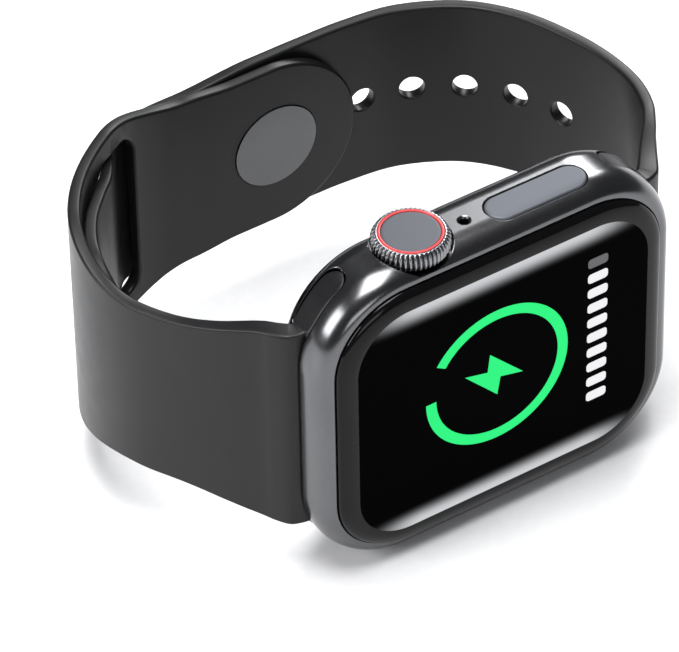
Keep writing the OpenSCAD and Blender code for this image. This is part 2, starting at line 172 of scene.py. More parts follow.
watch_middle = tuple((cad_low + cad_high) / 2)
soft_box("overhead", (-0.05, 0.05, 0.80), watch_middle, (0.55, 0.42), 9.5)
soft_box("left_side", (-0.70, 0.10, 0.40), watch_middle, (0.35, 0.4), 4.6)
soft_box("right_back", (0.60, 0.58, 0.58), watch_middle, (0.30, 0.35), 4.5)
soft_box("front", (-0.25, -0.75, 0.30), watch_middle, (0.5, 0.25), 1.3)
world = bpy.data.worlds.new("studio_air")
world.use_nodes = True
world.node_tree.nodes["Background"].inputs["Color"].default_value = (0.93, 0.95, 1.0, 1)
# The air lights the watch faintly but looks pale behind it.
air_as_light, air_as_seen = 0.14, 0.95
seen = shade(world.node_tree, "LightPath").outputs["Is Camera Ray"]
level = shade(world.node_tree, "MapRange", {"Value": seen, "To Min": air_as_light, "To Max": air_as_seen})
world.node_tree.links.new(level.outputs[0], world.node_tree.nodes["Background"].inputs["Strength"])
bpy.context.scene.world = world
bpy.context.scene.view_settings.view_transform = "Standard"


# ---------------------------------------------------------------- case
# The body is one machined block of metal, polished, with rounded corners and a softly curved
# edge. A channel milled through each end holds the strap, and the crown and button sit above.
MM = 0.001
case_low, case_high = (np.array(corner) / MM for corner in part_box("case_shell"))
half_long, half_wide = (case_high[0] - case_low[0]) / 2, (case_high[2] - case_low[2]) / 2
mid_z = (case_high[2] + case_low[2]) / 2
front_y, back_y = case_low[1], case_high[1]
corner = 10.5
front_inset, back_inset = 1.7, 2.8       # how far the edges draw in from the widest outline
strip_front, strip_back = -1.7, 1.0      # the flat strip round the side
channel_y, channel_half, mouth_half = 0.4, 1.6, 1.25
channel_inner, shoulder_x = 15.7, 21.05
channel_round = channel_inner + channel_half
channel_lip = 0.14
METAL = finish("graphite_metal", (0.118, 0.119, 0.124), (0.130, 0.131, 0.136), 1.0, (0.20, 0.24),
               2600, 0.0000001)


def lay_mesh(name, points, faces, material, sharp=32, flat_first=True):
    """Merges the points that coincide, points the faces outwards, marks edges sharper than the
    given angle, and lays the mesh in metres. flat_first weights normals by face area."""
    mesh = bpy.data.meshes.new(name)
    mesh.from_pydata((np.asarray(points, float).reshape(-1, 3) * MM).tolist(), [], [list(f) for f in faces])
    tidy = bmesh.new()
    tidy.from_mesh(mesh)
    bmesh.ops.remove_doubles(tidy, verts=tidy.verts, dist=2e-6)
    bmesh.ops.recalc_face_normals(tidy, faces=tidy.faces)
    tidy.to_mesh(mesh)
    tidy.free()
    mesh.polygons.foreach_set("use_smooth", np.ones(len(mesh.polygons), bool))
    mesh.set_sharp_from_angle(angle=math.radians(sharp))
    piece = bpy.data.objects.new(name, mesh)
    bpy.context.scene.collection.objects.link(piece)
    mesh.materials.append(material)
    if flat_first:
        weigh = piece.modifiers.new("even_shading", "WEIGHTED_NORMAL")
        weigh.keep_sharp = True
    return piece


def grid_faces(rows, columns, close_rows=False, close_columns=True):
    """Quads over a grid numbered row by row: each joins a point to the next in its row and column."""
    r = np.arange(rows if close_rows else rows - 1)[:, None]
    c = np.arange(columns if close_columns else columns - 1)[None, :]
    below, beside = (r + 1) % rows, (c + 1) % columns
    here, under = r * columns, below * columns
    return np.stack([here + c, here + beside, under + beside, under + c], -1).reshape(-1, 4)


def round_outline(half_a, half_b, radius, bend):
    """Rounded rectangle: each corner's centre plus its radius along the bend's angles, corner by corner."""
    angle = np.radians(bend)
    quarter = np.stack([half_a - radius + radius * np.cos(angle),
                        half_b - radius + radius * np.sin(angle)], 1)
    other = quarter[::-1]
    return np.concatenate([quarter, other * (-1, 1), quarter * (-1, -1), other * (1, -1)])


def channel_opening(x, grown):
    """Half height of the strap channel at x, grown by a margin: a half circle at the inner end,
    then the channel's own half height, stepping down to the mouth past the shoulder. x is taken
    to the nearest micron, so the inner end closes exactly."""
    x = np.round(x, 3)
    radius = channel_half + grown
    inner = np.sqrt(np.clip(radius ** 2 - np.clip(channel_round - x, 0, None) ** 2, 0, None))
    step = np.clip((x - shoulder_x + 0.07) / 0.14, 0, 1)
    return inner - (channel_half - mouth_half) * step * step * (3 - 2 * step)


def corner_angle(x):
    """Angle round the case corner at which its outline reaches x."""
    return np.degrees(np.arccos((x - half_long + corner) / corner))


inner_end = channel_round - (channel_half + channel_lip * np.array([0, 0.134, 0.5, 1.0]))
bend = np.unique(np.round(np.concatenate([
    np.linspace(0, corner_angle(shoulder_x + 0.1), 10),
    corner_angle(shoulder_x + 0.07 * np.linspace(-1, 1, 5)),
    np.linspace(corner_angle(shoulder_x - 0.1), corner_angle(channel_round), 14),
    corner_angle(channel_round - channel_half * np.sin(np.radians(np.linspace(0, 90, 12)))),
    corner_angle(inner_end), np.linspace(corner_angle(inner_end[-1]) + 2, 90, 10)]), 4))
widest = round_outline(half_long, half_wide, corner, bend)
columns = len(widest)
reach = np.abs(widest[:, 0])


def case_row(half_a, half_b, radius, y):
    """One ring of the case: a rounded outline at depth y, which may differ from column to column."""
    outline = round_outline(half_a, half_b, radius, bend)
    return np.stack([outline[:, 0], np.broadcast_to(y, columns), mid_z + outline[:, 1]], 1)


def skin_row(y, sunk=0.0):
    """A ring on the outer skin, sunk inwards: the inset follows an ellipse before and behind the
    flat strip, and is worked out for each column's own depth."""
    y = np.broadcast_to(y, columns).astype(float)
    ahead = np.clip((strip_front - y) / (strip_front - front_y), 0, 1)
    behind = np.clip((y - strip_back) / (back_y - strip_back), 0, 1)
    inset = front_inset * (1 - np.sqrt(1 - ahead ** 2)) + back_inset * (1 - np.sqrt(1 - behind ** 2)) + sunk
    direction = (widest - np.clip(widest, [-half_long + corner, -half_wide + corner],
                                  [half_long - corner, half_wide - corner])) / corner
    spot = widest - direction * inset[:, None]
    return np.stack([spot[:, 0], y, mid_z + spot[:, 1]], 1)


def lip_row(side, turn):
    """One ring of the channel's rounded lip. Inward of its own closed end it is not sunk at all."""
    grown = channel_lip * (1 - math.sin(turn))
    open_share = np.clip((reach - channel_inner + grown - 0.001) / channel_lip, 0, 1)
    sunk = channel_lip * (1 - math.cos(turn)) * open_share
    return skin_row(channel_y + side * channel_opening(reach, grown), sunk)


lip_turn = np.radians([90, 60, 30, 0])
lip_rows = {side: [lip_row(side, turn) for turn in lip_turn] for side in (-1, 1)}
quarter_turn = np.radians(np.linspace(0, 90, 15))
front_rows = [skin_row(strip_front + (front_y - strip_front) * math.sin(t)) for t in quarter_turn]
behind_lip = np.maximum(lip_rows[1][-1][:, 1], strip_back)
start = np.arcsin((behind_lip - strip_back) / (back_y - strip_back))
back_rows = [skin_row(strip_back + (back_y - strip_back) * np.sin(start + (math.pi / 2 - start) * share))
             for share in np.linspace(0, 1, 15)]
inner_rows = [case_row(*ring) for ring in (
    (20.15, 17.15, 8.65, front_y), (20.11, 17.11, 8.61, front_y + 0.02), (20.1, 17.1, 8.6, front_y + 0.06),
    (20.1, 17.1, 8.6, -3.3), (18.7, 15.7, 7.2, -3.3), (18.7, 15.7, 7.2, -2.2), (14.3, 14.9, 2, -2.2),
    (14.3, 14.9, 2, 2.5), (14.3, 14.9, 5, 2.9), (15.6, 15.7, 7.5, 2.9), (15.6, 15.7, 7.5, 3.85),
    (15.65, 15.75, 7.55, back_y))]
case_rows = np.array(lip_rows[-1] + front_rows + inner_rows + back_rows[::-1] + lip_rows[1][::-1])
case_faces = [grid_faces(len(case_rows), columns)]
# The channel's walls run straight up the case between the two corners of each end.
quarter = len(bend)
deep = np.arange(np.searchsorted(bend, corner_angle(channel_inner) - 0.01))
for row in (0, len(case_rows) - 1):
    for up, down in ((deep, 4 * quarter - 1 - deep), (2 * quarter - 1 - deep, 2 * quarter + deep)):
        nearer, farther = up + row * columns, down + row * columns
        step = np.stack([nearer, np.roll(nearer, -1), np.roll(farther, -1), farther], 1)[:-1]
        case_faces.append(step)
        tail = deep[-1] + 1
        ends = (tail, 4 * quarter - 1 - tail) if up[0] == 0 else (2 * quarter - 1 - tail, 2 * quarter + tail)
        near_end, far_end = (end + row * columns for end in ends)
        case_faces.append(np.array([[nearer[-1], near_end, far_end, farther[-1]]]))
case = lay_mesh("case_body", case_rows, np.concatenate(case_faces), METAL, flat_first=False)


def opening(outline, levels, place):
    """A closed cutter: the outline grown by each level's margin, at the level's height, mapped by
    place, and closed at both ends by a fan from the middle. outline(margin) gives the loop."""
    count = len(outline(0))
    loops = [np.column_stack([outline(margin), np.full(count, height)]) for margin, height in levels]
    caps = [np.column_stack([np.tile(loop[:, :2].mean(0), (count, 1)), loop[:, 2]])
            for loop in (loops[0], loops[-1])]
    spots = np.array([caps[0], *loops, caps[1]])
    return place(*spots.reshape(-1, 3).T), grid_faces(len(spots), spots.shape[1])


def cut(piece, *cutters):
    """Takes the cutters out of the piece and keeps the result as its mesh."""
    sizes = np.cumsum([0] + [len(points) for points, _ in cutters])
    points = np.concatenate([points for points, _ in cutters])
    faces = np.concatenate([faces + first for (_, faces), first in zip(cutters, sizes)])
    tool = lay_mesh("cutter", points, faces, METAL, flat_first=False)
    bite = piece.modifiers.new("cut", "BOOLEAN")
    bite.operation, bite.solver, bite.object = "DIFFERENCE", "EXACT", tool
    bpy.context.view_layer.update()
    done = bpy.data.meshes.new_from_object(piece.evaluated_get(bpy.context.evaluated_depsgraph_get()))
    piece.modifiers.remove(bite)
    piece.data = done
    bpy.data.objects.remove(tool)
    done.polygons.foreach_set("use_smooth", np.ones(len(done.polygons), bool))
    done.set_sharp_from_angle(angle=math.radians(32))


def lipped(floor_height, lip, top=0.0, over=1.0):
    """Levels for a blind hole: a plain wall from the floor, then a quarter round out to the surface."""
    turns = np.radians([90, 60, 30, 4])
    quarter = [(lip * (1 - math.sin(t)), top - lip * (1 - math.cos(t))) for t in turns]
    return [(0.0, floor_height)] + quarter + [(lip * 1.06, top + 0.02), (lip * 1.06, top + over)]


def on_top(x0, y0):
    """Maps (x, y, height above the skin) to the case's upper side; the height follows its curve."""
    def place(u, v, w):
        x, y = x0 + u, y0 + v
        ahead = np.clip((strip_front - y) / (strip_front - front_y), 0, 1)
        behind = np.clip((y - strip_back) / (back_y - strip_back), 0, 1)
        inset = front_inset * (1 - np.sqrt(1 - ahead ** 2)) + back_inset * (1 - np.sqrt(1 - behind ** 2))
        follow = np.clip(1 + w / 0.8, 0, 1)
        return np.stack([x, y, case_high[2] - inset * follow + w], 1)
    return place


def underneath(x0, y0):
    """The same on the lower side, where heights go down."""
    def place(u, v, w):
        return np.stack([x0 + u, y0 + v, case_low[2] - w], 1)
    return place


def on_back(x0):
    """Maps (x, z, height) to the flat back face, where heights go toward +Y."""
    def place(u, v, w):
        return np.stack([x0 + u, back_y + w, mid_z + v], 1)
    return place


fine_bend = np.linspace(0, 90, 13)
crown_x, crown_y, button_x, button_y = -8.1, -0.5, 6.6, -1.3
button_long, button_wide = 12.0, 3.6


def ring_hole(radius):
    return lambda margin: round_outline(radius + margin, radius + margin, radius + margin, fine_bend)


def pill_hole(length, width):
    long, wide = length / 2, width / 2
    return lambda margin: round_outline(long + margin, wide + margin, wide + margin, fine_bend)


# Depths below the skin: the crown's seat, the button's pocket, and where the bores end.
seat_depth, pocket_depth, bore_depth = 1.3, 1.9, 6.0
crown_seat = [(-2.35, -bore_depth), (-2.35, -seat_depth)] + lipped(-seat_depth, 0.12)


def over_seat(u, v, w):
    """The crown's place on the upper side, where the seat's wall never dips under the seat's floor."""
    spot = on_top(crown_x, crown_y)(u, v, w)
    lowest = case_high[2] - seat_depth + 0.02 * (w + seat_depth)
    spot[..., 2] = np.where(w > -seat_depth, np.maximum(spot[..., 2], lowest), spot[..., 2])
    return spot


microphone_x, microphone_y = -1.9, -0.9
vent_x, speaker_slots, port_y = 9.0, (-11.8, -7.3), -0.3
release_x, stem_offset = 17.4, 3
cut(case, opening(ring_hole(4.3), crown_seat, over_seat),
    opening(pill_hole(button_long + 0.2, button_wide + 0.2), lipped(-pocket_depth, 0.1),
            on_top(button_x, button_y)),
    opening(ring_hole(0.5), lipped(-bore_depth, 0.3), on_top(microphone_x, microphone_y)),
    opening(ring_hole(0.5), lipped(-bore_depth, 0.12), underneath(vent_x, port_y)),
    *[opening(pill_hole(3.6, 1.2), lipped(-bore_depth, 0.12), underneath(x, port_y)) for x in speaker_slots],
    *[opening(lambda m: round_outline(1.1 + m, 3.1 + m, 1.1 + m, fine_bend), lipped(-2.4, 0.1), on_back(x))
      for x in (-release_x, release_x)])
cut(case, *[opening(ring_hole(0.72), [(0, -bore_depth), (0, -1.85)], on_top(button_x + s, button_y))
            for s in (-stem_offset, stem_offset)])


def skin_normals(points):
    """The true normal of the case's skin at each point, and how far the point lies off the skin."""
    x, y, z = points[:, 0], points[:, 1], points[:, 2] - mid_z
    flat = np.stack([x, z], 1)
    hub = np.clip(flat, [-half_long + corner, -half_wide + corner], [half_long - corner, half_wide - corner])
    arm = flat - hub
    length = np.maximum(np.linalg.norm(arm, axis=1), 1e-9)
    ahead = np.clip((strip_front - y) / (strip_front - front_y), 0, 1)
    behind = np.clip((y - strip_back) / (back_y - strip_back), 0, 1)
    inset = front_inset * (1 - np.sqrt(1 - ahead ** 2)) + back_inset * (1 - np.sqrt(1 - behind ** 2))
    out = (np.sqrt(1 - ahead ** 2) / front_inset * (y < strip_front)
           + np.sqrt(1 - behind ** 2) / back_inset * (y > strip_back)
           + ((y >= strip_front) & (y <= strip_back)))
    deep_way = -ahead / (strip_front - front_y) + behind / (back_y - strip_back)
    normal = np.stack([arm[:, 0] / length * out, deep_way, arm[:, 1] / length * out], 1)
    return normal / np.linalg.norm(normal, axis=1)[:, None], np.abs(length + inset - corner)


def true_shading(piece):
    """Gives every face that lies on the skin the skin's own normals, so that reflections run evenly."""
    mesh = piece.data
    spots = np.zeros(len(mesh.vertices) * 3)
    mesh.vertices.foreach_get("co", spots)
    normal, off = skin_normals(spots.reshape(-1, 3) / MM)
    corners = np.zeros(len(mesh.loops), int)
    mesh.loops.foreach_get("vertex_index", corners)
    totals = np.zeros(len(mesh.polygons), int)
    mesh.polygons.foreach_get("loop_total", totals)
    owner = np.repeat(np.arange(len(totals)), totals)
    worst = np.zeros(len(totals))
    np.maximum.at(worst, owner, off[corners])
    facing = np.zeros(len(totals) * 3)
    mesh.polygons.foreach_get("normal", facing)
    agree = (facing.reshape(-1, 3)[owner] * normal[corners]).sum(1) > 0.9
    use = (worst[owner] < 0.006) & agree
    mesh.normals_split_custom_set((normal[corners] * use[:, None]).tolist())


true_shading(case)
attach(case, "case")
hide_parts("case_shell")


# ---------------------------------------------------------------- front glass and what it shows
# A thick black glass let into the front, flat in the middle and rounded over at its edge. Under
# it the screen shows a charging ring with a bolt and a row of charge bars.
glass_low, glass_high = (np.array(edge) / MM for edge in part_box("front_glass"))
glass_long, glass_wide = (glass_high[0] - glass_low[0]) / 2, (glass_high[2] - glass_low[2]) / 2
glass_face, glass_seat = glass_low[1], glass_high[1]
glass_corner, glass_bevel = 8.5, 2.1
GLASS_EDGE = finish("black_glass_edge", (0.002, 0.002, 0.002), (0.003, 0.003, 0.0035), 0.0, (0.05, 0.08),
                    800, 0.0, IOR=1.25)
SCREEN = finish("black_screen_glass", (0.0003, 0.0003, 0.0003), (0.0005, 0.0005, 0.0005), 0.0, (0.03, 0.05),
                800, 0.0, IOR=1.04)


def glass_row(inset, y):
    """The glass outline drawn in by an inset, at depth y."""
    return case_row(glass_long - inset, glass_wide - inset, glass_corner - inset, y)


def middle_of(row):
    """A row with every point at the middle of the given one, which closes a face."""
    return np.broadcast_to(row.mean(0), row.shape)


over_edge = np.radians(np.linspace(0, 90, 19))
glass_rows = [glass_row(0.06, glass_seat), glass_row(0.0, glass_seat - 0.06)] + [
    glass_row(glass_bevel * (1 - math.cos(t)), front_y + (glass_face - front_y) * math.sin(t))
    for t in over_edge] + [
    glass_row(glass_bevel + 0.15, glass_face), glass_row(glass_bevel + 1.0, glass_face)]
glass_rows = np.array([middle_of(glass_rows[0]), *glass_rows, middle_of(glass_rows[-1])])
glass = lay_mesh("cover_glass", glass_rows, grid_faces(len(glass_rows), columns), GLASS_EDGE)
glass.data.materials.append(SCREEN)
for panel in glass.data.polygons:
    panel.material_index = int(panel.center.y < (glass_face + 0.001) * MM)
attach(glass, "case")
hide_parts("front_glass")

# Painted reflection: a soft pale band painted as emission just inside the screen's upper and lower edges, in
# place of the rounded glass edge's reflection. It fades inwards and toward the corners, worked out from the
# distance to the edge.
painted_reflection_group, given, result = new_group("painted_edge_reflection", [
    ("Middle", "INPUT", "Float"), ("Half height", "INPUT", "Float"), ("Half length", "INPUT", "Float"),
    ("Mask", "OUTPUT", "Float")])
axes = shade(painted_reflection_group, "SeparateXYZ", {0: shade(painted_reflection_group, "TexCoord").outputs["Object"]}).outputs
rise = shade(painted_reflection_group, "Math", {0: axes["Z"], 1: given["Middle"]}, operation="SUBTRACT").outputs[0]
away = shade(painted_reflection_group, "Math", {0: rise}, operation="ABSOLUTE").outputs[0]
share = shade(painted_reflection_group, "Math", {0: away, 1: given["Half height"]}, operation="DIVIDE").outputs[0]
band = shade(painted_reflection_group, "MapRange", {"Value": share, "From Min": 0.80, "From Max": 1.0},
             interpolation_type="SMOOTHERSTEP")
strong = shade(painted_reflection_group, "Math", {0: band.outputs[0], 1: 1.6}, operation="POWER").outputs[0]
along = shade(painted_reflection_group, "Math", {0: axes["X"]}, operation="ABSOLUTE").outputs[0]
far = shade(painted_reflection_group, "Math", {0: along, 1: given["Half length"]}, operation="DIVIDE").outputs[0]
ends = shade(painted_reflection_group, "MapRange", {"Value": far, "From Min": 1.0, "From Max": 0.55},
             interpolation_type="SMOOTHSTEP")
both = shade(painted_reflection_group, "Math", {0: strong, 1: ends.outputs[0]}, operation="MULTIPLY")
painted_reflection_group.links.new(both.outputs[0], result["Mask"])
screen_nodes = SCREEN.node_tree
painted_reflection_mask = shade(screen_nodes, "Group", node_tree=painted_reflection_group)
painted_reflection_mask.inputs["Middle"].default_value = mid_z * MM
painted_reflection_mask.inputs["Half height"].default_value = (glass_wide - glass_bevel) * MM
painted_reflection_mask.inputs["Half length"].default_value = (glass_long - glass_bevel) * MM
# The band's pale grey is painted light: it shines as emission on the screen glass in place of a reflection.
painted_reflection_tint = shade(screen_nodes, "Mix", {0: painted_reflection_mask.outputs[0], 6: (0, 0, 0, 1), 7: (0.62, 0.63, 0.65, 1)},
             data_type="RGBA")
screen_nodes.links.new(painted_reflection_tint.outputs[2], screen_nodes.nodes["Principled BSDF"].inputs["Emission Color"])
screen_nodes.nodes["Principled BSDF"].inputs["Emission Strength"].default_value = 1.0


def lit(name, glow_colour, strength):
    """A screen colour: it shines evenly, under the same gloss as the glass, with a faint mottle."""
    dark, light = (tuple(share * c for c in glow_colour) for share in (0.04, 0.07))
    made = finish(name, dark, light, 0.0, (0.05, 0.1), 4000, 0.0, IOR=1.04)
    shader = made.node_tree.nodes["Principled BSDF"]
    shader.inputs["Emission Color"].default_value = (*glow_colour, 1)
    shader.inputs["Emission Strength"].default_value = strength
    return made


def on_screen(name, loops, faces, colour, proud=0.012):
    """A thin solid lying on the glass: the drawing's points in front, and again just behind."""
    flat = np.asarray(loops, float)
    front = np.column_stack([flat[:, 0], np.full(len(flat), glass_face - proud), flat[:, 1]])
    piece = lay_mesh(name, np.concatenate([front, front + (0, proud + 0.01, 0)]), faces, colour)
    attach(piece, "case")
    return piece


GREEN = lit("charge_green", (0.035, 0.93, 0.235), 0.95)
WHITE = lit("charge_white", (0.90, 0.90, 0.92), 0.95)
ring_x, ring_z, ring_radius, ring_stroke = -0.9, mid_z + 0.9, 8.8, 1.25
sweep = np.radians(np.linspace(180, 508, 165))
circle = np.stack([np.cos(sweep), np.sin(sweep)], 1)
ring_points = np.concatenate([circle * (ring_radius - ring_stroke), circle * ring_radius]) + (ring_x, ring_z)
n = len(sweep)
front_strip = grid_faces(2, n, close_columns=False)
rim = np.concatenate([np.arange(n), np.arange(2 * n)[:n - 1:-1]])
ring_faces = [*front_strip.tolist(), *(front_strip + 2 * n)[:, ::-1].tolist(),
              *np.stack([rim, np.roll(rim, -1), np.roll(rim, -1) + 2 * n, rim + 2 * n], 1).tolist()]
on_screen("screen_ring", ring_points, ring_faces, GREEN)


def solid_faces(count, first=0, total=None):
    """Front, back and sides of a drawing of that many points, whose back copy starts at total."""
    total = total or count
    face = np.arange(count) + first
    return [face.tolist(), (face + total)[::-1].tolist(),
            *np.stack([face, np.roll(face, -1), np.roll(face, -1) + total, face + total], 1).tolist()]


bolt = np.array([(-1.8, 23.0), (2.3, 18.7), (-0.5, 19.4), (-0.9, 17.1), (-4.9, 21.4), (-2.1, 20.7)])
on_screen("screen_bolt", bolt + (0, mid_z - 19), solid_faces(len(bolt)), GREEN)
bar_count, bar_pitch = 10, 2.05
bar = round_outline(1.25, 0.62, 0.4, np.linspace(0, 90, 7))
bar_middles = mid_z + 1.0 + (np.arange(bar_count) - (bar_count - 1) / 2) * bar_pitch
bar_x = 11.6
bars = np.concatenate([bar + (bar_x, z) for z in bar_middles[:-1]])
bar_faces = [f for k in range(bar_count - 1) for f in solid_faces(len(bar), k * len(bar), len(bars))]
on_screen("screen_bars", bars, bar_faces, WHITE)
on_screen("screen_bar_empty", bar + (bar_x, bar_middles[-1]), solid_faces(len(bar)),
          lit("charge_grey", (0.16, 0.16, 0.17), 0.9))


# ---------------------------------------------------------------- crown
# A knurled metal knob with a red ring and a satin cap let into its top. It turns on its shaft
# and is pushed in to press the switch below it.
KNOB = finish("crown_metal", (0.20, 0.20, 0.21), (0.26, 0.26, 0.27), 1.0, (0.18, 0.26), 3000, 0.0000008)
RED = finish("red_ring", (0.50, 0.010, 0.013), (0.58, 0.016, 0.02), 0.0, (0.25, 0.35), 3000, 0.0000005)
CAP = finish("cap_grey", (0.050, 0.054, 0.067), (0.061, 0.066, 0.079), 0.2, (0.42, 0.50), 5000, 0.000001)
crown_teeth, tooth_depth = 48, 0.32
crown_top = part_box("crown_knob")[1][2] / MM


def turned(profile, steps, place, ribs=None):
    """A profile of (radius, height) spun round its axis; ribs may change the radius by angle and height."""
    radius, height = np.array(profile, float).T
    angle = np.linspace(0, 2 * math.pi, steps, endpoint=False)
    radius, height = np.broadcast_arrays(radius[:, None], height[:, None] + 0 * angle)
    if ribs:
        radius = ribs(radius, height, angle)
    points = place(radius * np.cos(angle), radius * np.sin(angle), height).reshape(-1, 3)
    return points, grid_faces(len(profile), steps)


def upright(x, y):
    return lambda a, b, h: np.stack([x + a, y + b, h], -1)


def facing_back(x):
    return lambda a, b, h: np.stack([x + a, h, mid_z + b], -1)


def rounded(*stops, radius=0.06, steps=4):
    """A profile with its inner corners rounded: each corner becomes a short curve that leaves one
    side and joins the next at the given distance."""
    stops = np.array(stops, float)
    line = [stops[0]]
    for back, here, ahead in zip(stops, stops[1:], stops[2:]):
        lengths = [max(np.linalg.norm(end - here), 1e-9) for end in (back, ahead)]
        reach = min(radius, *(0.45 * length for length in lengths))
        leave, join = (here + (end - here) * reach / length for end, length in zip((back, ahead), lengths))
        for t in np.linspace(0, 1, steps):
            line.append((1 - t) ** 2 * leave + 2 * t * (1 - t) * here + t * t * join)
    return np.array([*line, stops[-1]])


def knurl(radius, height, angle):
    """Rounded ribs with narrow grooves round the side, fading out toward both rims."""
    side = np.clip((radius - 3.6) / 0.25, 0, 1)
    return radius - tooth_depth * side * (1 - np.abs(np.sin(crown_teeth / 2 * angle)) ** 0.9)


side_z = np.linspace(37.95, 38.55, 6)
knob_profile = np.vstack([
    rounded((0, 38.66), (0.82, 38.66), (0.82, 37.1), (3.6, 37.1), (3.98, 37.38), (4.15, 37.9)),
    np.stack([np.full(6, 4.15), side_z], 1),
    rounded((4.14, 38.6), (3.98, 38.95), (3.74, crown_top - 0.02), (3.43, crown_top), (3.43, 39.0),
            (2.9, 39.0), (2.9, 38.8), (0, 38.8), radius=0.1)])
knob_mesh = turned(knob_profile, crown_teeth * 12, upright(crown_x, crown_y), knurl)
knob = lay_mesh("crown_knob_ribbed", *knob_mesh, KNOB, flat_first=False)
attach(knob, "crown")
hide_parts("crown_knob")
ring = lay_mesh("crown_ring_lacquer", *turned(
    rounded((3.2, 39.01), (3.42, 39.01), (3.42, 39.28), (3.11, 39.28), (3.11, 39.01), (3.2, 39.01)),
    120, upright(crown_x, crown_y)), RED)
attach(ring, "crown")
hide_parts("crown_ring")
cap = lay_mesh("crown_cap_satin", *turned(
    rounded((0, 39.02), (3.09, 39.02), (3.09, 39.23), (2.8, 39.25), (0, 39.26)),
    120, upright(crown_x, crown_y)), CAP)
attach(cap, "crown")
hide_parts("crown_cap")


# ---------------------------------------------------------------- side button
# A long satin metal key in a pocket beside the crown, on two stems. Its top follows the curve
# of the case, and its rim is rounded.
BUTTON = finish("button_metal", (0.085, 0.091, 0.106), (0.099, 0.105, 0.121), 0.6, (0.44, 0.52),
                3500, 0.0000008)
button_proud, button_round = 0.05, 0.22


def button_row(inset, height):
    """The key's outline drawn in by an inset, at a height above the curved skin."""
    outline = pill_hole(button_long, button_wide)(-inset)
    return on_top(button_x, button_y)(outline[:, 0], outline[:, 1], np.full(len(outline), height))


roll = np.radians(np.linspace(0, 90, 7))
button_rows = [button_row(0.05, -1.5), button_row(0, -1.45)] + [
    button_row(button_round * (1 - math.cos(t)), button_proud - button_round * (1 - math.sin(t)))
    for t in roll] + [button_row(inset, button_proud) for inset in (0.5, 0.8, 1.2, 1.6, 1.78)]
button_rows = np.array([middle_of(button_rows[0]), *button_rows])
button_faces = grid_faces(len(button_rows), button_rows.shape[1]).tolist()
last = np.arange(button_rows.shape[1]) + (len(button_rows) - 1) * button_rows.shape[1]
stems = [turned([(0, 33.3), (0.65, 33.3), (0.65, 36.6), (0, 36.6)], 32, upright(button_x + s, button_y))
         for s in (-stem_offset, stem_offset)]
button_points = np.concatenate([button_rows.reshape(-1, 3), *(points for points, _ in stems)])
offsets = button_rows.size // 3 + np.array([0, len(stems[0][0])])
button_faces += [last.tolist()]
button_faces += [f for (_, faces), first in zip(stems, offsets) for f in (faces + first).tolist()]
button = lay_mesh("side_key", button_points, button_faces, BUTTON)
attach(button, "side_button")
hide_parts("side_button")


# ---------------------------------------------------------------- back
# A black ceramic cover glued into the back holds a thin electrode ring and a domed dark crystal.
# Two oval buttons, one toward each end of the case, free the strap.
CERAMIC = finish("black_ceramic", (0.012, 0.012, 0.013), (0.018, 0.018, 0.02), 0.0, (0.12, 0.18),
                 1500, 0.0000001)
ELECTRODE = finish("electrode", (0.16, 0.16, 0.17), (0.22, 0.22, 0.23), 1.0, (0.28, 0.36), 4000, 0.0000006)
CRYSTAL = finish("crystal", (0.006, 0.007, 0.009), (0.012, 0.012, 0.016), 0.0, (0.03, 0.06), 500, 0.0)
cover_low, cover_high = (np.array(edge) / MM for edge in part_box("back_cover"))
cover_long, cover_wide = (cover_high[0] - cover_low[0]) / 2, (cover_high[2] - cover_low[2]) / 2
cover_corner = 7.35
window_radius, ring_outer, ring_inner = 12.6, 13.4, 12.65


def cover_row(inset, y):
    return case_row(cover_long - inset, cover_wide - inset, cover_corner - inset, y)


def bore_row(radius, y):
    """A round ring whose points lie at the same angles as the cover's outline."""
    outline = cover_row(0, 0)
    arm = outline[:, [0, 2]] - (0, mid_z)
    arm = arm / np.linalg.norm(arm, axis=1)[:, None] * radius
    return np.stack([arm[:, 0], np.full(columns, y), mid_z + arm[:, 1]], 1)


cover_rows = np.array([
    cover_row(0, cover_low[1]), cover_row(0, cover_high[1] - 0.12), cover_row(0.035, cover_high[1] - 0.035),
    cover_row(0.12, cover_high[1]), cover_row(0.4, cover_high[1]), bore_row(13.75, cover_high[1]),
    bore_row(13.5, cover_high[1]), bore_row(13.45, cover_high[1] - 0.05), bore_row(13.45, cover_low[1])])
cover_faces = grid_faces(len(cover_rows), columns, close_rows=True)
cover = lay_mesh("back_cover_glazed", cover_rows, cover_faces, CERAMIC)
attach(cover, "case")
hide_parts("back_cover")
electrode = lay_mesh("electrode_ring", *turned(rounded(
    (13.0, 3.2), (ring_outer, 3.2), (ring_outer, 4.1), (ring_inner, 4.14), (ring_inner, 3.2), (13.0, 3.2)),
    144, facing_back(0)), ELECTRODE)
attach(electrode, "case")
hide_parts("sensor_ring")
dome_rim, dome_rise = 4.2, 1.0
dome_radius = (window_radius ** 2 + dome_rise ** 2) / (2 * dome_rise)
dome_reach = np.linspace(window_radius - 0.08, 0, 22)
dome_height = dome_rim + dome_rise - dome_radius + np.sqrt(dome_radius ** 2 - dome_reach ** 2)
window_profile = np.vstack([
    [(0, 3.9), (11, 3.9), (11, 3.2), (window_radius, 3.2), (window_radius, dome_rim - 0.06)],
    np.stack([dome_reach, dome_height], 1)])
window = lay_mesh("rear_crystal", *turned(window_profile, 144, facing_back(0)), CRYSTAL)
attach(window, "case")
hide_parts("sensor_window")
